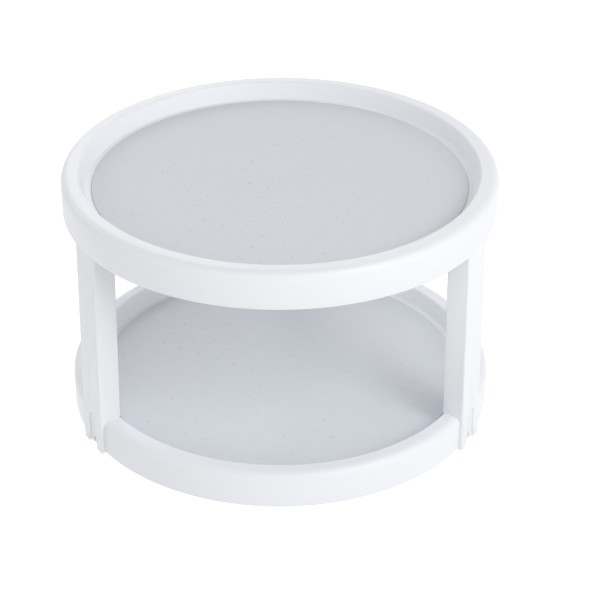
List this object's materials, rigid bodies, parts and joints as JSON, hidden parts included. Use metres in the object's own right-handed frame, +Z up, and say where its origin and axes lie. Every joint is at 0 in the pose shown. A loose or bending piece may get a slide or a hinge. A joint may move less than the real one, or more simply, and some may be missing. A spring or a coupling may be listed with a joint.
{
  "type": "lazy susan turntable",
  "caption": "Tiered round turntable: dished trays with non-skid mats, held apart by hollow pillars, turning together on a ball race above a flat base plate.",
  "frame": {"origin": "on the spin axis, at the surface that the foot pads stand on", "axes": "+Z up along the spin axis; one pillar stands at +Y, the other two at the front left and the front right; -Y is the front"},
  "size_m": [0.254, 0.2559, 0.1524],
  "materials": {
    "tray_plastic": "smooth satin moulded plastic, slightly cool white",
    "pillar_plastic": "smooth satin moulded plastic, slightly cool white",
    "mat_rubber": "soft matt light grey rubber with small raised dots",
    "base_plastic": "fine matt moulded plastic",
    "cage_plastic": "natural unpigmented nylon",
    "ball_steel": "polished bearing steel",
    "fastener_steel": "zinc plated steel",
    "pad_rubber": "matt grey rubber"
  },
  "bodies": {
    "base": {"base_plate": "base_plastic", "hub_washer": "fastener_steel", "hub_screw": "fastener_steel", "foot_pad_1": "pad_rubber", "foot_pad_2": "pad_rubber", "foot_pad_3": "pad_rubber", "foot_pad_4": "pad_rubber", "foot_pad_5": "pad_rubber", "foot_pad_6": "pad_rubber"},
    "ball_cage": {"ball_cage": "cage_plastic", "bearing_ball_01": "ball_steel", "bearing_ball_02": "ball_steel", "bearing_ball_03": "ball_steel", "bearing_ball_04": "ball_steel", "bearing_ball_05": "ball_steel", "bearing_ball_06": "ball_steel", "bearing_ball_07": "ball_steel", "bearing_ball_08": "ball_steel", "bearing_ball_09": "ball_steel", "bearing_ball_10": "ball_steel", "bearing_ball_11": "ball_steel", "bearing_ball_12": "ball_steel", "bearing_ball_13": "ball_steel", "bearing_ball_14": "ball_steel", "bearing_ball_15": "ball_steel", "bearing_ball_16": "ball_steel"},
    "turntable": {"lower_tray": "tray_plastic", "lower_mat": "mat_rubber", "pillar_left": "pillar_plastic", "pillar_right": "pillar_plastic", "pillar_back": "pillar_plastic", "upper_tray": "tray_plastic", "upper_mat": "mat_rubber"}
  },
  "joints": [
    {"name": "turntable_spin", "type": "hinge", "parent": "base", "child": "turntable", "pos_m": [0, 0, 0], "axis": [0, 0, 1], "continuous": true},
    {"name": "cage_spin", "type": "hinge", "parent": "base", "child": "ball_cage", "pos_m": [0, 0, 0], "axis": [0, 0, 1], "continuous": true}
  ],
  "couplings": [
    {"joint": "cage_spin", "follows": "turntable_spin", "ratio": 0.5}
  ]
}
